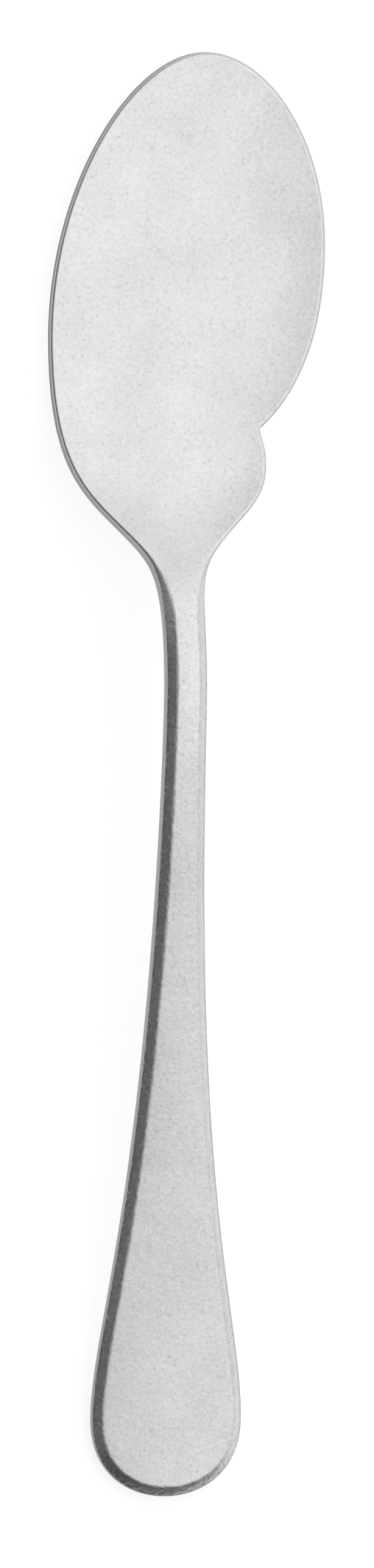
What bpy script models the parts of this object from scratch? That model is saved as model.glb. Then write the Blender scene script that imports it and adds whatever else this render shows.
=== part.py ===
"""A sauce spoon forged from one piece of stainless steel: a shallow bowl that leans to one side and
has a drip notch, an arched neck and a flat handle with a bevelled front edge.

It lies bowl up. X is across, to the right as seen from above, the bowl points along +Y and Z is up.
The origin is the middle of the small flat under the bowl. Outline places are measured across from
the handle's middle line and back from the tip of the bowl."""

import math

import bmesh
import bpy
import numpy as np
from mathutils import Vector
from mathutils.geometry import interpolate_bezier

# Bowl outline: how far each side reaches from the handle's middle line, and where
TIP_ACROSS = 0.0052
RIGHT_REACH = 0.0207
RIGHT_BACK = 0.0243
LEFT_REACH = 0.0156
LEFT_BACK = 0.0368
REST_BACK = 0.028

# Drip notch on the right edge, and the lobe behind it
NOTCH_REACH = 0.0119
RIGHT_TO_NOTCH = 0.02392
LOBE_REACH = 0.0125
NOTCH_TO_LOBE = 0.00388

# Shoulders, neck and handle outline
SHOULDER_WIDTH = 0.0139
LOBE_TO_SHOULDER = 0.00948
NECK_WIDTH = 0.00523
SHOULDER_TO_NECK = 0.0195
HANDLE_WIDTH = 0.0196
NECK_TO_WIDEST = 0.094
END_ROUND = 0.0099
END_ACROSS = -0.0002

# Side view
DISH_DEPTH = 0.001
TIP_CURL = 0.03
RAMP_LENGTH = 0.045
DISH_FADE_BACK = 0.046
DISH_RUN_OUT = 0.024
NECK_HEIGHT = 0.01335
FLOOR_THICK = 0.0018
RIM_THICK = 0.0011
NECK_THICK = 0.003
HANDLE_THICK = 0.0028
END_THICK = 0.0023
FACE_CROWN = 0.0005

# Edges
BEVEL_WIDTH = 0.00122
BEVEL_DEPTH = 0.00079
BEVEL_FADE = 0.012
RIM_ROUND = 0.0004
BACK_ROUND = 0.0004

# Headings: across, or down for the handle's end, for each unit back
NOTCH_IN = -1.18
NOTCH_OUT = 0.25
SHOULDER_IN = -0.944
END_SLOPE = 0.037

# Pull of a curve at its start and end, as a share of its length back (across, for the round ends)
TIP_LEFT_PULL = (0.475, 0.53)
TIP_RIGHT_PULL = (0.482, 0.584)
LEFT_SHOULDER_PULL = (0.67, 0.213)
NOTCH_PULL = (0.596, 0.124)
LOBE_PULL = (0.65, 0.17)
RIGHT_SHOULDER_PULL = (0.49, 0.306)
NECK_PULL = (0.242, 0.725)
HANDLE_PULL = (0.702, 0.136)
END_PULL = (0.714, 0.473)
RAMP_PULL = (0.544, 0.332)
ARCH_PULL = (0.086, 0.393)

# The share of the bowl's width that is flat, and the mesh's fineness
FLAT_SHARE = 0.25
CURVE_STEPS = 80
COLUMNS = 14
STRETCH_STEPS = (14, 11, 3, 6, 12, 24, 9)

STEEL_GREY = (0.72, 0.72, 0.71, 1.0)
STEEL_ROUGHNESS = 0.4
SHARP_ANGLE = math.radians(22)

# Places back from the tip
NOTCH_BACK = RIGHT_BACK + RIGHT_TO_NOTCH
LOBE_BACK = NOTCH_BACK + NOTCH_TO_LOBE
SHOULDER_BACK = LOBE_BACK + LOBE_TO_SHOULDER
NECK_BACK = SHOULDER_BACK + SHOULDER_TO_NECK
WIDEST_BACK = NECK_BACK + NECK_TO_WIDEST
END_BACK = WIDEST_BACK + END_ROUND
RAMP_BACK = NECK_BACK - RAMP_LENGTH

AFT = (0, 1)


def curve(start, heading, finish, arrival, pull):
    """Points of one Bezier stretch that leaves start along heading and comes into finish along arrival."""
    run = abs(finish[1] - start[1])
    span = abs(finish[0] - start[0])
    leave = Vector(heading) * pull[0] * (run if heading[1] else span)
    enter = Vector(arrival) * pull[1] * (run if arrival[1] else span)
    points = interpolate_bezier(
        Vector(start), Vector(start) + leave, Vector(finish) - enter, Vector(finish), CURVE_STEPS
    )
    return [(point[0], point[1]) for point in points]


def side(bowl_stretches, sign):
    """One side of the outline from the tip to the handle's end, as (across, back) columns."""
    shoulder = (sign * SHOULDER_WIDTH / 2, SHOULDER_BACK)
    neck = (sign * NECK_WIDTH / 2, NECK_BACK)
    widest = (sign * HANDLE_WIDTH / 2, WIDEST_BACK)
    end = (END_ACROSS, END_BACK)
    points = list(bowl_stretches)
    points += curve(shoulder, (sign * SHOULDER_IN, 1), neck, AFT, NECK_PULL)
    points += curve(neck, AFT, widest, AFT, HANDLE_PULL)
    points += curve(widest, AFT, end, (-sign, 0), END_PULL)
    return np.array(points).T


def left_side():
    tip = (TIP_ACROSS, 0)
    widest = (-LEFT_REACH, LEFT_BACK)
    shoulder = (-SHOULDER_WIDTH / 2, SHOULDER_BACK)
    bowl = curve(tip, (-1, 0), widest, AFT, TIP_LEFT_PULL)
    bowl += curve(widest, AFT, shoulder, (-SHOULDER_IN, 1), LEFT_SHOULDER_PULL)
    return side(bowl, -1)


def right_side():
    tip = (TIP_ACROSS, 0)
    widest = (RIGHT_REACH, RIGHT_BACK)
    notch = (NOTCH_REACH, NOTCH_BACK)
    lobe = (LOBE_REACH, LOBE_BACK)
    shoulder = (SHOULDER_WIDTH / 2, SHOULDER_BACK)
    bowl = curve(tip, (1, 0), widest, AFT, TIP_RIGHT_PULL)
    bowl += curve(widest, AFT, notch, (NOTCH_IN, 1), NOTCH_PULL)
    bowl += curve(notch, (NOTCH_OUT, 1), lobe, AFT, LOBE_PULL)
    bowl += curve(lobe, AFT, shoulder, (SHOULDER_IN, 1), RIGHT_SHOULDER_PULL)
    return side(bowl, 1)


LEFT = left_side()
RIGHT = right_side()
SPINE = np.array(
    curve((FLOOR_THICK, RAMP_BACK), AFT, (NECK_HEIGHT, NECK_BACK), AFT, RAMP_PULL)
    + curve((NECK_HEIGHT, NECK_BACK), AFT, (END_THICK, END_BACK), (-END_SLOPE, 1), ARCH_PULL)
).T


def ease(start, length, back):
    """0 before start, 1 after start + length, and a smooth step between."""
    share = np.clip((back - start) / length, 0, 1)
    return share * share * (3 - 2 * share)


def handle_share(back):
    """0 along the bowl's thin rim and 1 along the handle's full bevel."""
    return ease(SHOULDER_BACK, BEVEL_FADE, back)


def dish_share(across, back):
    """0 on the bowl's flat middle and 1 at its rim. The notch is cut from the same smooth dish."""
    lean = TIP_ACROSS * (1 + math.cos(math.pi * min(back / SHOULDER_BACK, 1))) / 2
    half = max(lean - np.interp(back, LEFT[1], LEFT[0]), RIM_ROUND)
    reach = min(abs(across - lean) / half, 1)
    return (max(reach - FLAT_SHARE, 0) / (1 - FLAT_SHARE)) ** 2


def spine_height(across, back):
    """Height of the face before the handle's crown: the side view, the curled tip and the dish."""
    curl = DISH_DEPTH * max(1 - back / TIP_CURL, 0) ** 2
    dish = (DISH_DEPTH - curl) * (1 - ease(DISH_FADE_BACK, DISH_RUN_OUT, back))
    return np.interp(back, SPINE[1], SPINE[0]) + curl + dish * dish_share(across, back)


def top_height(across, back):
    half = max(np.interp(back, RIGHT[1], RIGHT[0]), NECK_WIDTH / 2)
    crown = FACE_CROWN * handle_share(back) * across**2 / half / (HANDLE_WIDTH / 2)
    return spine_height(across, back) - crown


def bottom_height(across, back):
    """Height of the underside, which is flat where the handle's end lies on the table."""
    neck = ease(RAMP_BACK, RAMP_LENGTH, back)
    end = ease(NECK_BACK, NECK_TO_WIDEST, back)
    middle = FLOOR_THICK + (NECK_THICK - FLOOR_THICK) * neck + (HANDLE_THICK - NECK_THICK) * end
    rim = (FLOOR_THICK - RIM_THICK) * (1 - neck) * dish_share(across, back)
    return max(spine_height(across, back) - middle + rim, 0)


def stations():
    """Places back from the tip of the rungs across the spoon, closer together at both round ends."""
    marks = (0, RIGHT_BACK, NOTCH_BACK, LOBE_BACK, SHOULDER_BACK, NECK_BACK, WIDEST_BACK, END_BACK)
    places = []
    for start, finish, steps in zip(marks, marks[1:], STRETCH_STEPS):
        shares = np.arange(steps) / steps
        if start == 0:
            shares = 1 - np.cos(shares * math.pi / 2)
        if finish == END_BACK:
            shares = np.sin(shares * math.pi / 2)
        places += list(start + (finish - start) * shares)
    return places[1:]


def outline(places):
    """The closed outline from the tip down the left side and up the right side, with outward normals."""
    left = [(np.interp(back, LEFT[1], LEFT[0]), back) for back in places]
    right = [(np.interp(back, RIGHT[1], RIGHT[0]), back) for back in places]
    points = np.array([(TIP_ACROSS, 0), *left, (END_ACROSS, END_BACK), *reversed(right)])
    ahead = np.roll(points, -1, axis=0) - points
    behind = points - np.roll(points, 1, axis=0)
    ahead /= np.linalg.norm(ahead, axis=1)[:, None]
    behind /= np.linalg.norm(behind, axis=1)[:, None]
    along = ahead + behind
    along /= np.linalg.norm(along, axis=1)[:, None]
    return points, np.stack([-along[:, 1], along[:, 0]], axis=1)


def place(across, back, height):
    return (across, REST_BACK - back, height)


def ring(mesh, points, normals, inset, surface, lift):
    """A loop of vertices inset from the outline, lifted from where the surface meets its inner line."""
    loop = []
    for point, normal in zip(points, normals):
        back = point[1]
        across, inner = point - normal * inset(back)
        base = point - normal * max(inset(back), RIM_ROUND)
        loop.append(mesh.verts.new(place(across, inner, surface(*base) + lift(back))))
    return loop


def bridge(mesh, outer, inner):
    for index in range(len(outer)):
        mesh.faces.new((outer[index - 1], outer[index], inner[index], inner[index - 1]))


def skin(mesh, loop, surface):
    """Fills a loop with rungs from its left side to its right side that follow the surface."""
    middle = len(loop) // 2
    rungs = [[loop[0]]]
    for index in range(1, middle):
        first, last = loop[index], loop[-index]
        rung = [first]
        for column in range(1, COLUMNS):
            spot = first.co.lerp(last.co, column / COLUMNS)
            spot.z = surface(spot.x, REST_BACK - spot.y)
            rung.append(mesh.verts.new(spot))
        rungs.append([*rung, last])
    rungs.append([loop[middle]])
    for upper, lower in zip(rungs, rungs[1:]):
        for column in range(COLUMNS):
            corners = [*upper[column : column + 2], *reversed(lower[column : column + 2])]
            if len(upper) == 1:
                corners = [upper[0], *reversed(lower[column : column + 2])]
            if len(lower) == 1:
                corners = [*upper[column : column + 2], lower[0]]
            mesh.faces.new(corners)


def blend(rim, handle):
    return lambda back: rim + (handle - rim) * handle_share(back)


def spoon_mesh():
    points, normals = outline(stations())
    mesh = bmesh.new()
    # The wall leans out with the dish, whose square gives it twice its mean slope at the rim
    flare = RIM_THICK * 2 * DISH_DEPTH / (1 - FLAT_SHARE) / RIGHT_REACH
    bevel_width = blend(RIM_ROUND, BEVEL_WIDTH)
    bevel_depth = blend(RIM_ROUND, BEVEL_DEPTH)
    back_round = blend(RIM_ROUND, BACK_ROUND)
    outset = blend(-flare, 0)
    face = ring(mesh, points, normals, bevel_width, top_height, lambda back: 0)
    crest = ring(mesh, points, normals, lambda back: 0, top_height, lambda back: -bevel_depth(back))
    foot = ring(mesh, points, normals, outset, bottom_height, back_round)
    underside = ring(mesh, points, normals, back_round, bottom_height, lambda back: 0)
    skin(mesh, face, top_height)
    bridge(mesh, face, crest)
    bridge(mesh, crest, foot)
    bridge(mesh, foot, underside)
    skin(mesh, underside, bottom_height)
    bmesh.ops.recalc_face_normals(mesh, faces=mesh.faces)
    return mesh


def steel():
    material = bpy.data.materials.new("stonewashed_steel")
    material.use_nodes = True
    shader = material.node_tree.nodes["Principled BSDF"]
    shader.inputs["Base Color"].default_value = STEEL_GREY
    shader.inputs["Metallic"].default_value = 1.0
    shader.inputs["Roughness"].default_value = STEEL_ROUGHNESS
    return material


for old in list(bpy.data.objects):
    bpy.data.objects.remove(old)

body = bpy.data.meshes.new("spoon")
made = spoon_mesh()
made.to_mesh(body)
made.free()
body.shade_smooth()
body.set_sharp_from_angle(angle=SHARP_ANGLE)
body.materials.append(steel())
spoon = bpy.data.objects.new("spoon", body)
bpy.context.collection.objects.link(spoon)
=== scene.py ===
"""The looks of a sauce spoon in stonewashed stainless steel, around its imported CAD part.

The spoon is one forged piece. Its blank is laid out in plan from the outline's own sizes, given its
side view, dish and bevel, and a Geometry Nodes tree then tumbles it with stones. X is across, the
bowl points along +Y, Z is up, and outline places are measured across from the handle's middle line
and back from the tip of the bowl, all in metres."""

import math

import bpy
import numpy as np
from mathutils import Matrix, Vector
from mathutils.geometry import interpolate_bezier


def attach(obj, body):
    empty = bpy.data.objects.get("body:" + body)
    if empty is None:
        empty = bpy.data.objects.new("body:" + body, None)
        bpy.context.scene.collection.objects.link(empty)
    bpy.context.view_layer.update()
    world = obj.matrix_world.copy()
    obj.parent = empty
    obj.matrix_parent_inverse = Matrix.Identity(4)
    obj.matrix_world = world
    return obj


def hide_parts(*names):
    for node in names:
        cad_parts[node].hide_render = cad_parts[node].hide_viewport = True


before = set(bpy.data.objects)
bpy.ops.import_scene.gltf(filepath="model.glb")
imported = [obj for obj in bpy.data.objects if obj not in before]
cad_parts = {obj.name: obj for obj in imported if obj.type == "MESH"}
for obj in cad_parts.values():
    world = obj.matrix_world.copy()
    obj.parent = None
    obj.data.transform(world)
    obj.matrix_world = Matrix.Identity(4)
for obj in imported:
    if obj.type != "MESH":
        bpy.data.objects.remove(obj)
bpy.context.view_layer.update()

MM = 0.001

# Bowl outline: how far each side reaches from the handle's middle line, and where
TIP_ACROSS = 0.0052
RIGHT_REACH = 0.0207
RIGHT_BACK = 0.0243
LEFT_REACH = 0.0156
LEFT_BACK = 0.0368
REST_BACK = 0.028

# Drip notch on the right edge, and the lobe behind it
NOTCH_REACH = 0.0119
RIGHT_TO_NOTCH = 0.02392
LOBE_REACH = 0.0125
NOTCH_TO_LOBE = 0.00388

# Shoulders, neck and handle outline
SHOULDER_WIDTH = 0.0139
LOBE_TO_SHOULDER = 0.00948
NECK_WIDTH = 0.00523
SHOULDER_TO_NECK = 0.0195
HANDLE_WIDTH = 0.0196
NECK_TO_WIDEST = 0.094
END_ROUND = 0.0099
END_ACROSS = -0.0002

# Side view
DISH_DEPTH = 0.001
TIP_CURL = 0.03
RAMP_LENGTH = 0.045
DISH_FADE_BACK = 0.046
DISH_RUN_OUT = 0.024
NECK_HEIGHT = 0.01335
FLOOR_THICK = 0.0018
RIM_THICK = 0.0011
NECK_THICK = 0.003
HANDLE_THICK = 0.0028
END_THICK = 0.0023
FACE_CROWN = 0.0005

# Edges: the roll is the share by which the bevel's slope starts gentler and ends steeper than its mean
BEVEL_WIDTH = 0.00122
BEVEL_DEPTH = 0.00079
BEVEL_ROLL = 0.23
BEVEL_FADE = 0.012
BEVEL_SOFT = 0.00022
CREST_ROUND = 0.0002
RIM_ROUND = 0.0004
BACK_ROUND = 0.0004

# Headings: across, or down for the handle's end, for each unit back
NOTCH_IN = -1.18
NOTCH_OUT = 0.25
SHOULDER_IN = -0.944
END_SLOPE = 0.037
AFT = (0, 1)

# Pull of a curve at its start and end, as a share of its length back (across, for the round ends)
TIP_LEFT_PULL = (0.475, 0.53)
TIP_RIGHT_PULL = (0.482, 0.584)
LEFT_SHOULDER_PULL = (0.67, 0.213)
NOTCH_PULL = (0.596, 0.124)
LOBE_PULL = (0.65, 0.17)
RIGHT_SHOULDER_PULL = (0.49, 0.306)
NECK_PULL = (0.242, 0.725)
HANDLE_PULL = (0.702, 0.136)
END_PULL = (0.714, 0.473)
RAMP_PULL = (0.544, 0.332)
ARCH_PULL = (0.086, 0.393)

# The share of the bowl's width that is flat, and the mesh's fineness
FLAT_SHARE = 0.25
CURVE_STEPS = 1500
STRETCH_STEPS = (80, 66, 14, 24, 56, 290, 46)
TOP_COLUMNS = 50
BACK_COLUMNS = 30
BEND_RINGS = 7
SLOPE_RINGS = 3
CREST_RINGS = 3
WALL_RINGS = 3
FOOT_RINGS = 5

# How much of each ring, counted from the face outwards, is the bend at the bevel's inner line, the wall
# and crest darkened with painted shade, or the ground bevel, as a pair for the bowl's rim and the
# handle.
# On the handle rings 0 to 6 make the bend, 7 to 9 the slope, 10 to 12 the crest, 13 to 15 the wall and
# 16 to 20 the round below
BENT = {0: (0, 0.2), 1: (0, 0.6), 2: (0, 1), 3: (0, 1), 4: (0, 1), 5: (0, 1), 6: (0, 0.6)}
WALL_SHADE = {8: (0.1, 0), 9: (0.3, 0.55), 10: (0.5, 0.85), 11: (0.75, 1)}
WALL_SHADE |= {number: (1, 1) for number in range(12, 19)}
GROUND = {number: (0, 1) for number in range(4, 11)}

# Tumbling with stones: broad soft dents, scattered pecks and a ragged bend at the bevel
TUMBLE_SIZES = {
    "Dent Size": 1.8 * MM,
    "Dent Depth": 0.002 * MM,
    "Peck Spacing": 4.5 * MM,
    "Peck Width": 2.2 * MM,
    "Peck Depth": 0.008 * MM,
    "Ragged Size": 0.9 * MM,
    "Ragged Reach": 0.035 * MM,
}
TUMBLE_SEED = 7
TUMBLE_DETAIL = 1.0

# A noise's middle level, and how far it swings to each side of it
NOISE_MIDDLE = 0.5
NOISE_SWING = 0.25

# Steel: each pattern's size and noise detail. The grain, flecks, pits and scratches of the real finish
# are about half as wide, and are drawn as coarse as they need to be to show
STEEL_PALE = "#F0F0F0"
STEEL_DARK = "#C8C8C8"
STEEL_PIT = "#A0A0A0"
# Painted shade for the wall, the crest above it and the bowl's rim round, darker than the steel's own
# tone
STEEL_WALL_SHADE = "#8E8E8E"
STEEL_ROUGHNESS = 0.32
ROUGHNESS_SPREAD = 0.18
STEEL_PATTERNS = {
    "grain": (0.6 * MM, 1.0),
    "mottle": (1.2 * MM, 1.0),
    "cloud": (9 * MM, 1.0),
    "fleck": (0.4 * MM, 1.0),
    "pit": (0.4 * MM, 1.0),
    "nick": (1.6 * MM, 0.0),
    "patch": (1.1 * MM, 0.0),
    "scratch": (0.28 * MM, 1.0),
}
PATTERN_ROUGHNESS = 0.8

# The levels of a pattern between which a mark goes from nothing to full, and how near to its middle
# level the nick pattern is a nick
MARK_LEVELS = {"fleck": (0.5, 0.85), "pit": (0.66, 0.86), "patch": (0.7, 0.78)}
NICK_WIDTH = 0.01

# How much each pattern sways the tone between dark and pale steel about its middle, or darkens it.
# Scratches make it paler above their level, which is a little under a noise's middle
MIDDLE_TONE = 0.5
GRAIN_TONE = 0.45
CLOUD_TONE = 0.5
FLECK_TONE = 0.3
PIT_TONE = 0.25
NICK_TONE = 0.12
SCRATCH_TONE = 0.9
SCRATCH_LEVEL = 0.445

# How far each pattern stands out of the surface or sinks into it
GRAIN_DEPTH = 0.008 * MM
MOTTLE_DEPTH = 0.018 * MM
FLECK_DEPTH = 0.002 * MM
PIT_DEPTH = 0.006 * MM
GROUND_DEPTH = 0.045 * MM

# Studio: a sky that is brightest towards the key, which leans right from overhead. It goes from dark to
# bright between two cosines of the angle to the key
WHITE = "#FFFFFF"
KEY_LEAN = math.radians(42)
KEY_FROM = -0.06
KEY_TO = 0.93
SKY_DARK = 0.082
SKY_BRIGHT = 0.903

# Its ramps along an axis: where each starts and ends, and its level there. The foot and dip ramps dim
# what they multiply, and the others brighten the sky
SKY_RAMPS = {
    "foot": ("Y", -0.7, -0.31, 0.12, 1.0),
    "front": ("Y", 0.1, 0.6, 0.0, 0.28),
    "horizon": ("Z", math.sin(math.radians(5)), math.sin(math.radians(14)), 1.0, 0.0),
    "horizon foot": ("Y", -0.7, -0.31, 0.3, 1.0),
    "skyline": ("Z", 0.0, math.sin(math.radians(2)), 1.0, 0.0),
    "right dip": ("X", 0.72, 0.94, 1.0, 0.9),
}
SOFTBOX_PLACE = (0.22, 0.17, 0.5)
SOFTBOX_SIZE = (0.5, 0.74)
SOFTBOX_GLOW = 0.29

# Floor
FLOOR_HALF = 3.0
FLOOR_DROP = 0.05 * MM
FLOOR_PAPER = "#A8A8A8"
FLOOR_GLOW = 0.8

# The picture: its height and the spoon's in it, and where the middle of the frame lies on the spoon
PICTURE_TALL = 2576
SPOON_TALL = 2370
VIEW_TILT = math.radians(14)
VIEW_ACROSS = 0.002974
VIEW_ALONG = -0.0657
VIEW_DISTANCE = 2.0
SENSOR = 36.0

# Settings of nodes
SMOOTH = {"interpolation_type": "SMOOTHSTEP"}
COLOUR = {"data_type": "RGBA"}
TIMES = {"operation": "MULTIPLY"}
TIMES_ADD = {"operation": "MULTIPLY_ADD"}
MINUS = {"operation": "SUBTRACT"}
OVER = {"operation": "DIVIDE"}
MOST = {"operation": "MAXIMUM"}
SCALE = {"operation": "SCALE"}

# Places back from the tip
NOTCH_BACK = RIGHT_BACK + RIGHT_TO_NOTCH
LOBE_BACK = NOTCH_BACK + NOTCH_TO_LOBE
SHOULDER_BACK = LOBE_BACK + LOBE_TO_SHOULDER
NECK_BACK = SHOULDER_BACK + SHOULDER_TO_NECK
WIDEST_BACK = NECK_BACK + NECK_TO_WIDEST
END_BACK = WIDEST_BACK + END_ROUND
RAMP_BACK = NECK_BACK - RAMP_LENGTH


def linear(code):
    """The linear colour of an sRGB hex value."""
    shares = [int(code[i : i + 2], 16) / 255 for i in (1, 3, 5)]
    return tuple(s / 12.92 if s <= 0.04045 else ((s + 0.055) / 1.055) ** 2.4 for s in shares) + (1.0,)


def add(tree, kind, settings=None, **inputs):
    """Adds a node. Settings are its properties, and an input takes a value or another node's socket.
    An input's name is the socket's with _ for its spaces, or _ and the socket's number."""
    node = tree.nodes.new(kind)
    for name, value in (settings or {}).items():
        setattr(node, name, value)
    for name, value in inputs.items():
        socket = node.inputs[int(name[1:]) if name[0] == "_" else name.replace("_", " ")]
        if isinstance(value, bpy.types.NodeSocket):
            tree.links.new(value, socket)
        else:
            socket.default_value = value
    return node


def curve(start, heading, finish, arrival, pull):
    """Points of one Bezier stretch that leaves start along heading and reaches finish along arrival."""
    run = abs(finish[1] - start[1])
    span = abs(finish[0] - start[0])
    leave = Vector(heading) * pull[0] * (run if heading[1] else span)
    enter = Vector(arrival) * pull[1] * (run if arrival[1] else span)
    points = interpolate_bezier(
        Vector(start), Vector(start) + leave, Vector(finish) - enter, Vector(finish), CURVE_STEPS
    )
    return [(point[0], point[1]) for point in points]


def side(bowl_stretches, sign):
    """One side of the outline from the tip to the handle's end, as (across, back) columns."""
    shoulder = (sign * SHOULDER_WIDTH / 2, SHOULDER_BACK)
    neck = (sign * NECK_WIDTH / 2, NECK_BACK)
    widest = (sign * HANDLE_WIDTH / 2, WIDEST_BACK)
    end = (END_ACROSS, END_BACK)
    points = list(bowl_stretches)
    points += curve(shoulder, (sign * SHOULDER_IN, 1), neck, AFT, NECK_PULL)
    points += curve(neck, AFT, widest, AFT, HANDLE_PULL)
    points += curve(widest, AFT, end, (-sign, 0), END_PULL)
    return np.array(points).T


def left_side():
    tip = (TIP_ACROSS, 0)
    widest = (-LEFT_REACH, LEFT_BACK)
    shoulder = (-SHOULDER_WIDTH / 2, SHOULDER_BACK)
    bowl = curve(tip, (-1, 0), widest, AFT, TIP_LEFT_PULL)
    bowl += curve(widest, AFT, shoulder, (-SHOULDER_IN, 1), LEFT_SHOULDER_PULL)
    return side(bowl, -1)


def right_side():
    tip = (TIP_ACROSS, 0)
    widest = (RIGHT_REACH, RIGHT_BACK)
    notch = (NOTCH_REACH, NOTCH_BACK)
    lobe = (LOBE_REACH, LOBE_BACK)
    shoulder = (SHOULDER_WIDTH / 2, SHOULDER_BACK)
    bowl = curve(tip, (1, 0), widest, AFT, TIP_RIGHT_PULL)
    bowl += curve(widest, AFT, notch, (NOTCH_IN, 1), NOTCH_PULL)
    bowl += curve(notch, (NOTCH_OUT, 1), lobe, AFT, LOBE_PULL)
    bowl += curve(lobe, AFT, shoulder, (SHOULDER_IN, 1), RIGHT_SHOULDER_PULL)
    return side(bowl, 1)


LEFT = left_side()
RIGHT = right_side()
SPINE = np.array(
    curve((FLOOR_THICK, RAMP_BACK), AFT, (NECK_HEIGHT, NECK_BACK), AFT, RAMP_PULL)
    + curve((NECK_HEIGHT, NECK_BACK), AFT, (END_THICK, END_BACK), (-END_SLOPE, 1), ARCH_PULL)
).T


def ease(start, length, back):
    """0 before start, 1 after start + length, and a smooth step between."""
    share = np.clip((back - start) / length, 0, 1)
    return share * share * (3 - 2 * share)


def handle_share(back):
    """0 along the bowl's thin rim and 1 along the handle's full bevel."""
    return ease(SHOULDER_BACK, BEVEL_FADE, back)


def dish_share(across, back):
    """0 on the bowl's flat middle, which leans from the handle's middle line to the tip, and 1 at its
    rim. The notch is cut from the same smooth dish."""
    lean = TIP_ACROSS * (1 + np.cos(math.pi * np.clip(back / SHOULDER_BACK, 0, 1))) / 2
    half = np.maximum(lean - np.interp(back, LEFT[1], LEFT[0]), RIM_ROUND)
    reach = np.minimum(np.abs(across - lean) / half, 1)
    return (np.maximum(reach - FLAT_SHARE, 0) / (1 - FLAT_SHARE)) ** 2


def spine_height(across, back):
    """Height of the face before the handle's crown: the side view, the curled tip and the dish."""
    curl = DISH_DEPTH * np.maximum(1 - back / TIP_CURL, 0) ** 2
    dish = (DISH_DEPTH - curl) * (1 - ease(DISH_FADE_BACK, DISH_RUN_OUT, back))
    return np.interp(back, SPINE[1], SPINE[0]) + curl + dish * dish_share(across, back)


def top_height(across, back):
    """Height of the face, with the handle's crown."""
    half = np.maximum(np.interp(back, RIGHT[1], RIGHT[0]), NECK_WIDTH / 2)
    crown = FACE_CROWN * handle_share(back) * across**2 / half / (HANDLE_WIDTH / 2)
    return spine_height(across, back) - crown


def bottom_height(across, back):
    """Height of the underside, which is flat where the handle's end lies on the table."""
    neck = ease(RAMP_BACK, RAMP_LENGTH, back)
    end = ease(NECK_BACK, NECK_TO_WIDEST, back)
    middle = FLOOR_THICK + (NECK_THICK - FLOOR_THICK) * neck + (HANDLE_THICK - NECK_THICK) * end
    rim = (FLOOR_THICK - RIM_THICK) * (1 - neck) * dish_share(across, back)
    return np.maximum(spine_height(across, back) - middle + rim, 0)


def stations():
    """Places back from the tip of the rungs across the spoon, closer together at both round ends."""
    marks = (0, RIGHT_BACK, NOTCH_BACK, LOBE_BACK, SHOULDER_BACK, NECK_BACK, WIDEST_BACK, END_BACK)
    places = []
    for start, finish, steps in zip(marks, marks[1:], STRETCH_STEPS):
        shares = np.arange(steps) / steps
        if start == 0:
            shares = 1 - np.cos(shares * math.pi / 2)
        if finish == END_BACK:
            shares = np.sin(shares * math.pi / 2)
        places += list(start + (finish - start) * shares)
    return np.array(places[1:])


def outline(places):
    """The closed outline from the tip down the left side and up the right side, with outward normals."""
    left = np.stack([np.interp(places, LEFT[1], LEFT[0]), places], axis=1)
    right = np.stack([np.interp(places, RIGHT[1], RIGHT[0]), places], axis=1)
    points = np.concatenate([[(TIP_ACROSS, 0)], left, [(END_ACROSS, END_BACK)], right[::-1]])
    ahead = np.roll(points, -1, axis=0) - points
    behind = points - np.roll(points, 1, axis=0)
    ahead /= np.linalg.norm(ahead, axis=1)[:, None]
    behind /= np.linalg.norm(behind, axis=1)[:, None]
    along = ahead + behind
    along /= np.linalg.norm(along, axis=1)[:, None]
    return points, np.stack([-along[:, 1], along[:, 0]], axis=1)


def bevel_section():
    """The handle's bevel from the face outwards, as pairs of inset from the outline and drop from the
    face: a soft bend, a slope that rolls over and a small round into the wall."""
    crest = math.atan(BEVEL_DEPTH / BEVEL_WIDTH * (1 + BEVEL_ROLL))
    inner, outer = BEVEL_WIDTH + BEVEL_SOFT, BEVEL_WIDTH - BEVEL_SOFT
    bend = np.linspace(inner, outer, BEND_RINGS)
    slope = np.linspace(outer, CREST_ROUND * (1 - math.sin(crest)), SLOPE_RINGS + 1)[1:]
    pairs = []
    for inset in np.concatenate([bend, slope]):
        soft = min(inner - inset, inner - outer)
        share = (soft**2 / (inner - outer) / 2 + max(outer - inset, 0)) / BEVEL_WIDTH
        pairs.append((inset, BEVEL_DEPTH * share * (1 + BEVEL_ROLL * (share - 1))))
    drop = pairs[-1][1]
    for angle in np.linspace(crest, math.pi / 2, CREST_RINGS + 1)[1:]:
        round_drop = CREST_ROUND * (math.cos(crest) - math.cos(angle))
        pairs.append((CREST_ROUND * (1 - math.sin(angle)), drop + round_drop))
    return pairs


def rim_section():
    """The bowl's rim in as many pairs: the dish runs up to a small quarter round."""
    pairs = [(inset, 0) for inset in np.linspace(BEVEL_WIDTH + BEVEL_SOFT, RIM_ROUND, BEND_RINGS)]
    for angle in np.linspace(0, math.pi / 2, SLOPE_RINGS + CREST_RINGS + 1)[1:]:
        pairs.append((RIM_ROUND * (1 - math.sin(angle)), RIM_ROUND * (1 - math.cos(angle))))
    return pairs


def blend(share, rim, handle):
    return rim + (handle - rim) * share


def ring(points, normals, inset, surface, lift):
    """A loop of places inset from the outline. Their lift is counted from the surface there, which isn't
    read nearer to the outline than the rim's round."""
    spots = points - normals * inset[:, None]
    base = points - normals * np.maximum(inset, RIM_ROUND)[:, None]
    height = surface(base[:, 0], base[:, 1]) + lift
    return np.stack([spots[:, 0], REST_BACK - spots[:, 1], height], axis=1)


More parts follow.
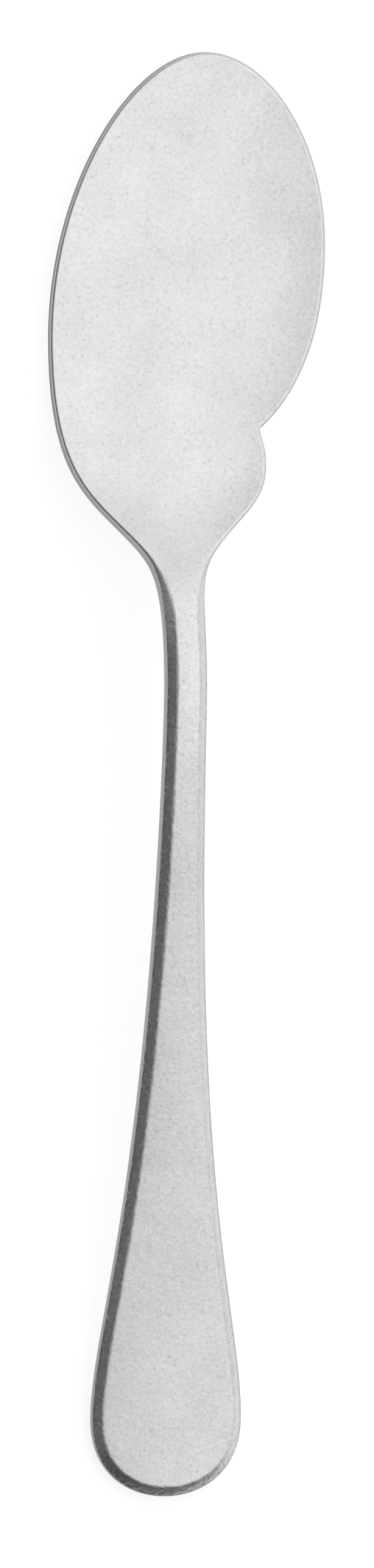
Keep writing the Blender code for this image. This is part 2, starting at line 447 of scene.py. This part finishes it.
def edge_rings(points, normals, share):
    """The loops of the spoon's edge, from the face over the bevel and the wall to the underside."""
    # The wall leans out with the dish, whose square gives it twice its mean slope at the rim
    flare = RIM_THICK * 2 * DISH_DEPTH / (1 - FLAT_SHARE) / RIGHT_REACH
    outset = blend(share, -flare, 0)
    back_round = blend(share, RIM_ROUND, BACK_ROUND)
    rings = []
    for (rim_in, rim_drop), (inset, drop) in zip(rim_section(), bevel_section()):
        lift = -blend(share, rim_drop, drop)
        rings.append(ring(points, normals, blend(share, rim_in, inset), top_height, lift))
    crest = rings[-1]
    foot = ring(points, normals, outset, bottom_height, back_round)
    for level in np.linspace(0, 1, WALL_RINGS + 2)[1:-1]:
        rings.append(crest * (1 - level) + foot * level)
    for angle in np.linspace(0, math.pi / 2, FOOT_RINGS):
        inset = outset + (back_round - outset) * (1 - math.cos(angle))
        rings.append(ring(points, normals, inset, bottom_height, back_round * (1 - math.sin(angle))))
    return rings


def skin(loop, first, columns, surface, start):
    """Rungs inside a loop that follow the surface: their places, and the faces between them."""
    middle = len(loop) // 2
    left = np.arange(1, middle)
    shares = np.arange(1, columns)[None, :, None] / columns
    spots = loop[left][:, None] * (1 - shares) + loop[-left][:, None] * shares
    spots[..., 2] = surface(spots[..., 0], REST_BACK - spots[..., 1])
    inner = start + np.arange(spots.shape[0] * spots.shape[1]).reshape(spots.shape[:2])
    rungs = np.concatenate([first + left[:, None], inner, first + len(loop) - left[:, None]], axis=1)
    upper, lower = rungs[:-1], rungs[1:]
    quads = np.stack([upper[:, :-1], upper[:, 1:], lower[:, 1:], lower[:, :-1]], axis=2)
    faces = quads.reshape(-1, 4).tolist()
    faces += [(first, b, a) for a, b in zip(rungs[0], rungs[0][1:])]
    faces += [(a, b, first + middle) for a, b in zip(rungs[-1], rungs[-1][1:])]
    return spots.reshape(-1, 3), faces


def forged_blank():
    """The spoon as it leaves the press and the bevelling wheel, as one closed mesh that keeps where it
    is bent, where painted shade darkens its wall and crest, where it is ground and where it is the
    handle."""
    points, normals = outline(stations())
    share = handle_share(points[:, 1])
    rings = edge_rings(points, normals, share)
    count = len(points)
    faces = []
    for number in range(len(rings) - 1):
        outer = number * count + np.arange(count)
        inner = outer + count
        quads = np.stack([outer, inner, np.roll(inner, -1), np.roll(outer, -1)], axis=1)
        faces += quads.tolist()
    places = np.concatenate(rings)
    top, top_faces = skin(rings[0], 0, TOP_COLUMNS, top_height, len(places))
    places = np.concatenate([places, top])
    last = (len(rings) - 1) * count
    under, under_faces = skin(rings[-1], last, BACK_COLUMNS, bottom_height, len(places))
    places = np.concatenate([places, under])
    faces += [face[::-1] for face in top_faces] + under_faces
    mesh = bpy.data.meshes.new("spoon_steel")
    mesh.from_pydata(places.tolist(), [], faces)
    mesh.update()
    mesh.shade_smooth()
    # The wall attribute marks where painted shade darkens the wall and the crest
    for name, levels in (("bend", BENT), ("wall", WALL_SHADE), ("ground", GROUND)):
        values = np.zeros(len(places))
        for number, (rim, handle) in levels.items():
            values[number * count : (number + 1) * count] = blend(share, rim, handle)
        mesh.attributes.new(name, "FLOAT", "POINT").data.foreach_set("value", values)
    handle = handle_share(REST_BACK - places[:, 1])
    mesh.attributes.new("handle", "FLOAT", "POINT").data.foreach_set("value", handle)
    return mesh


def tumbling():
    """Geometry Nodes that wear a blank as tumbling with stones does."""
    tree = bpy.data.node_groups.new("stone tumbling", "GeometryNodeTree")
    socket = tree.interface.new_socket
    socket("Geometry", in_out="INPUT", socket_type="NodeSocketGeometry")
    for name in TUMBLE_SIZES:
        socket(name, in_out="INPUT", socket_type="NodeSocketFloat")
    socket("Seed", in_out="INPUT", socket_type="NodeSocketInt")
    socket("Steel", in_out="INPUT", socket_type="NodeSocketMaterial")
    socket("Geometry", in_out="OUTPUT", socket_type="NodeSocketGeometry")
    given = add(tree, "NodeGroupInput").outputs
    place = add(tree, "GeometryNodeInputPosition").outputs[0]
    normal = add(tree, "GeometryNodeInputNormal").outputs[0]
    noise = {}
    for name in ("Dent Size", "Ragged Size"):
        fine = add(tree, "ShaderNodeMath", OVER, _0=1.0, _1=given[name]).outputs[0]
        noise[name] = add(
            tree,
            "ShaderNodeTexNoise",
            {"noise_dimensions": "4D"},
            Vector=place,
            W=given["Seed"],
            Scale=fine,
            Detail=TUMBLE_DETAIL,
        ).outputs

    # The bend sways level with the table, by its full reach where the noise swings out
    bend = add(tree, "GeometryNodeInputNamedAttribute", {"data_type": "FLOAT"}, Name="bend")
    reach = add(tree, "ShaderNodeMath", OVER, _0=given["Ragged Reach"], _1=NOISE_SWING)
    reach = add(tree, "ShaderNodeMath", TIMES, _0=bend.outputs["Attribute"], _1=reach.outputs[0])
    middle = (NOISE_MIDDLE, NOISE_MIDDLE, NOISE_MIDDLE)
    sway = add(tree, "ShaderNodeVectorMath", MINUS, _0=noise["Ragged Size"]["Color"], _1=middle)
    sway = add(tree, "ShaderNodeVectorMath", SCALE, _0=sway.outputs[0], Scale=reach.outputs[0])
    level = add(tree, "ShaderNodeVectorMath", TIMES, _0=sway.outputs[0], _1=(1, 1, 0))
    ragged = add(tree, "GeometryNodeSetPosition", Geometry=given["Geometry"], Offset=level.outputs[0])

    # Pecks are round hollows about scattered points, one for each square of their spacing
    gap = add(tree, "ShaderNodeMath", {"operation": "POWER"}, _0=given["Peck Spacing"], _1=-2.0)
    pecks = add(
        tree,
        "GeometryNodeDistributePointsOnFaces",
        Mesh=given["Geometry"],
        Density=gap.outputs[0],
        Seed=given["Seed"],
    )
    spots = pecks.outputs["Points"]
    near = add(tree, "GeometryNodeProximity", {"target_element": "POINTS"}, Geometry=spots)
    half = add(tree, "ShaderNodeMath", OVER, _0=given["Peck Width"], _1=2.0)
    hollow = add(
        tree,
        "ShaderNodeMapRange",
        SMOOTH,
        Value=near.outputs["Distance"],
        From_Min=0.0,
        From_Max=half.outputs[0],
        To_Min=-1.0,
        To_Max=0.0,
    )
    peck = add(tree, "ShaderNodeMath", TIMES, _0=hollow.outputs[0], _1=given["Peck Depth"])

    # Dents lie under the pecks, and both move the surface along its normal
    depth = add(tree, "ShaderNodeMath", OVER, _0=given["Dent Depth"], _1=NOISE_SWING)
    dent = add(tree, "ShaderNodeMath", MINUS, _0=noise["Dent Size"][0], _1=NOISE_MIDDLE)
    dent = add(
        tree, "ShaderNodeMath", TIMES_ADD, _0=dent.outputs[0], _1=depth.outputs[0], _2=peck.outputs[0]
    )
    sink = add(tree, "ShaderNodeVectorMath", SCALE, _0=normal, Scale=dent.outputs[0])
    dented = add(tree, "GeometryNodeSetPosition", Geometry=ragged.outputs[0], Offset=sink.outputs[0])
    real = add(tree, "GeometryNodeRealizeInstances", Geometry=dented.outputs[0])
    clad = add(tree, "GeometryNodeSetMaterial", Geometry=real.outputs[0], Material=given["Steel"])
    add(tree, "NodeGroupOutput", Geometry=clad.outputs[0])
    return tree


def tumble(piece, steel):
    """Runs the tumbling on a piece and keeps its result as a plain mesh."""
    tree = tumbling()
    wash = piece.modifiers.new("tumbling", "NODES")
    values = {**TUMBLE_SIZES, "Seed": TUMBLE_SEED, "Steel": steel}
    wash.node_group = tree
    for item in tree.interface.items_tree:
        if item.name in values:
            wash[item.identifier] = values[item.name]
    worn = bpy.data.meshes.new_from_object(piece.evaluated_get(bpy.context.evaluated_depsgraph_get()))
    piece.modifiers.clear()
    piece.data = worn


def stonewashed_steel():
    """Stainless steel tumbled with stones: an even satin grey whose fine grain, dark pits and short
    nicks break up every reflection, with painted shade on the wall and the crest above it."""
    material = bpy.data.materials.new("stonewashed stainless steel")
    material.use_nodes = True
    tree = material.node_tree
    shader = tree.nodes["Principled BSDF"]
    shader.inputs["Metallic"].default_value = 1.0
    place = add(tree, "ShaderNodeTexCoord").outputs["Object"]
    pattern = {}
    for name, (size, detail) in STEEL_PATTERNS.items():
        noise = add(
            tree,
            "ShaderNodeTexNoise",
            Vector=place,
            Scale=1 / size,
            Detail=detail,
            Roughness=PATTERN_ROUGHNESS,
        )
        pattern[name] = noise.outputs[0]
    mark = {}
    for name, (start, full) in MARK_LEVELS.items():
        rise = add(
            tree, "ShaderNodeMapRange", SMOOTH, Value=pattern[name], From_Min=start, From_Max=full
        )
        mark[name] = rise.outputs[0]
    line = add(
        tree,
        "ShaderNodeMath",
        {"operation": "COMPARE"},
        _0=pattern["nick"],
        _1=NOISE_MIDDLE,
        _2=NICK_WIDTH,
    )
    nick = add(tree, "ShaderNodeMath", TIMES, _0=line.outputs[0], _1=mark["patch"]).outputs[0]

    # Fine scratches speckle the handle and make it a little paler
    handle = add(tree, "ShaderNodeAttribute", {"attribute_name": "handle"}).outputs["Fac"]
    speckle = add(tree, "ShaderNodeMath", MINUS, _0=pattern["scratch"], _1=SCRATCH_LEVEL).outputs[0]
    speckle = add(tree, "ShaderNodeMath", TIMES, _0=speckle, _1=handle).outputs[0]

    # Grain, clouds and scratches sway the tone about its middle, and flecks, pits and nicks darken it
    tone = MIDDLE_TONE - (GRAIN_TONE + CLOUD_TONE) / 2
    for level, share in (
        (pattern["grain"], GRAIN_TONE),
        (pattern["cloud"], CLOUD_TONE),
        (mark["fleck"], -FLECK_TONE),
        (speckle, SCRATCH_TONE),
    ):
        tone = add(tree, "ShaderNodeMath", TIMES_ADD, _0=level, _1=share, _2=tone).outputs[0]
    satin = add(tree, "ShaderNodeMix", COLOUR, Factor=tone, _6=linear(STEEL_DARK), _7=linear(STEEL_PALE))
    stain = 0.0
    for level, share in ((mark["pit"], PIT_TONE), (nick, NICK_TONE)):
        stain = add(tree, "ShaderNodeMath", TIMES_ADD, _0=level, _1=share, _2=stain).outputs[0]
    worn = add(tree, "ShaderNodeMix", COLOUR, Factor=stain, _6=satin.outputs[2], _7=linear(STEEL_PIT))
    # Painted shade: the wall, the crest and the bowl's rim round are darkened towards the wall colour
    wall = add(tree, "ShaderNodeAttribute", {"attribute_name": "wall"}).outputs["Fac"]
    wall_shaded = add(tree, "ShaderNodeMix", COLOUR, Factor=wall, _6=worn.outputs[2], _7=linear(STEEL_WALL_SHADE))
    tree.links.new(wall_shaded.outputs[2], shader.inputs["Base Color"])

    # Flecks are duller than the steel about them
    least = STEEL_ROUGHNESS - ROUGHNESS_SPREAD / 2
    dull = add(tree, "ShaderNodeMath", TIMES_ADD, _0=pattern["fleck"], _1=ROUGHNESS_SPREAD, _2=least)
    tree.links.new(dull.outputs[0], shader.inputs["Roughness"])

    # Relief in metres, with a deeper grain where the bevel was ground
    ground = add(tree, "ShaderNodeAttribute", {"attribute_name": "ground"}).outputs["Fac"]
    coarse = add(tree, "ShaderNodeMath", MINUS, _0=pattern["grain"], _1=NOISE_MIDDLE).outputs[0]
    coarse = add(tree, "ShaderNodeMath", TIMES, _0=coarse, _1=ground).outputs[0]
    relief = 0.0
    for level, depth in (
        (pattern["grain"], GRAIN_DEPTH),
        (pattern["mottle"], MOTTLE_DEPTH),
        (mark["fleck"], -FLECK_DEPTH),
        (mark["pit"], -PIT_DEPTH),
        (coarse, GROUND_DEPTH),
    ):
        relief = add(tree, "ShaderNodeMath", TIMES_ADD, _0=level, _1=depth, _2=relief).outputs[0]
    bump = add(tree, "ShaderNodeBump", Height=relief, Strength=1.0, Distance=1.0)
    tree.links.new(bump.outputs[0], shader.inputs["Normal"])
    return material


def studio():
    """A soft sky that is brightest towards the key, darker beyond the handle's end and on the left, a
    little dimmer far to the right, and white at the horizon."""
    world = bpy.data.worlds.new("studio")
    bpy.context.scene.world = world
    world.use_nodes = True
    tree = world.node_tree
    tree.nodes.clear()
    way = add(tree, "ShaderNodeTexCoord").outputs["Generated"]
    axes = add(tree, "ShaderNodeSeparateXYZ", Vector=way).outputs
    ramp = {}
    for name, (axis, start, finish, first, last) in SKY_RAMPS.items():
        slope = add(
            tree,
            "ShaderNodeMapRange",
            SMOOTH,
            Value=axes[axis],
            From_Min=start,
            From_Max=finish,
            To_Min=first,
            To_Max=last,
        )
        ramp[name] = slope.outputs[0]

    # The key runs along the spoon, so it changes across and upwards alone
    arch = add(tree, "ShaderNodeVectorMath", TIMES, _0=way, _1=(1, 0, 1))
    arch = add(tree, "ShaderNodeVectorMath", {"operation": "NORMALIZE"}, _0=arch.outputs[0])
    lean = (math.sin(KEY_LEAN), 0, math.cos(KEY_LEAN))
    key = add(tree, "ShaderNodeVectorMath", {"operation": "DOT_PRODUCT"}, _0=arch.outputs[0], _1=lean)
    glow = add(
        tree,
        "ShaderNodeMapRange",
        Value=key.outputs["Value"],
        From_Min=KEY_FROM,
        From_Max=KEY_TO,
        To_Min=SKY_DARK,
        To_Max=SKY_BRIGHT,
    )
    for name in ("foot", "right dip"):
        glow = add(tree, "ShaderNodeMath", TIMES, _0=glow.outputs[0], _1=ramp[name])
    glow = add(tree, "ShaderNodeMath", MOST, _0=glow.outputs[0], _1=ramp["front"])

    # The horizon is lit on its own, less beyond the handle's end, with a white skyline all round
    rise = add(tree, "ShaderNodeMath", TIMES, _0=ramp["horizon"], _1=ramp["horizon foot"])
    rise = add(tree, "ShaderNodeMath", MOST, _0=rise.outputs[0], _1=ramp["skyline"])
    sky = add(tree, "ShaderNodeMath", MOST, _0=glow.outputs[0], _1=rise.outputs[0])
    light = add(tree, "ShaderNodeBackground", Color=linear(WHITE), Strength=sky.outputs[0])
    add(tree, "ShaderNodeOutputWorld", Surface=light.outputs[0])


def softbox():
    """A soft lamp above the bowl, near enough that the handle's end gets less of it."""
    data = bpy.data.lights.new("softbox", "AREA")
    data.shape = "RECTANGLE"
    data.size, data.size_y = SOFTBOX_SIZE
    # Watts that give the whole face its glow
    data.energy = SOFTBOX_GLOW * math.pi * SOFTBOX_SIZE[0] * SOFTBOX_SIZE[1]
    lamp = bpy.data.objects.new("softbox", data)
    lamp.location = SOFTBOX_PLACE
    lamp.visible_camera = False
    bpy.context.scene.collection.objects.link(lamp)


def paper():
    """Matt paper that keeps the spoon's shadow, and is white to the camera and in the steel."""
    material = bpy.data.materials.new("white paper sweep")
    material.use_nodes = True
    tree = material.node_tree
    tree.nodes.clear()
    matt = add(tree, "ShaderNodeBsdfDiffuse", Color=linear(FLOOR_PAPER))
    path = add(tree, "ShaderNodeLightPath").outputs
    seen = path["Is Camera Ray"]
    for kind in ("Is Glossy Ray", "Is Transmission Ray"):
        seen = add(tree, "ShaderNodeMath", MOST, _0=seen, _1=path[kind]).outputs[0]
    lift = add(tree, "ShaderNodeMath", TIMES, _0=seen, _1=FLOOR_GLOW)
    glow = add(tree, "ShaderNodeEmission", Color=linear(WHITE), Strength=lift.outputs[0])
    both = add(tree, "ShaderNodeAddShader", _0=matt.outputs[0], _1=glow.outputs[0])
    add(tree, "ShaderNodeOutputMaterial", Surface=both.outputs[0])
    return material


def pale_floor():
    corners = [(-1, -1), (1, -1), (1, 1), (-1, 1)]
    mesh = bpy.data.meshes.new("floor")
    places = [(x * FLOOR_HALF, y * FLOOR_HALF, -FLOOR_DROP) for x, y in corners]
    mesh.from_pydata(places, [], [(0, 1, 2, 3)])
    mesh.materials.append(paper())
    floor = bpy.data.objects.new("floor", mesh)
    bpy.context.scene.collection.objects.link(floor)
    return floor


def camera():
    """A long lens that looks down on the spoon, tilted a little to its left."""
    data = bpy.data.cameras.new("camera")
    seen = END_BACK * PICTURE_TALL / SPOON_TALL
    data.sensor_width = SENSOR
    data.lens = SENSOR * VIEW_DISTANCE / seen
    rig = bpy.data.objects.new("camera", data)
    bpy.context.scene.collection.objects.link(rig)
    across = Vector((math.cos(VIEW_TILT), 0, math.sin(VIEW_TILT)))
    away = Vector((-math.sin(VIEW_TILT), 0, math.cos(VIEW_TILT)))
    middle = across * VIEW_ACROSS + Vector((0, VIEW_ALONG, 0))
    rig.location = middle + away * VIEW_DISTANCE
    rig.rotation_euler = (0, -VIEW_TILT, 0)
    bpy.context.scene.camera = rig


steel = stonewashed_steel()
spoon = bpy.data.objects.new("spoon_steel", forged_blank())
bpy.context.scene.collection.objects.link(spoon)
tumble(spoon, steel)
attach(spoon, "root")
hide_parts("spoon")

pale_floor()
studio()
softbox()
camera()
bpy.context.scene.view_settings.view_transform = "Standard"
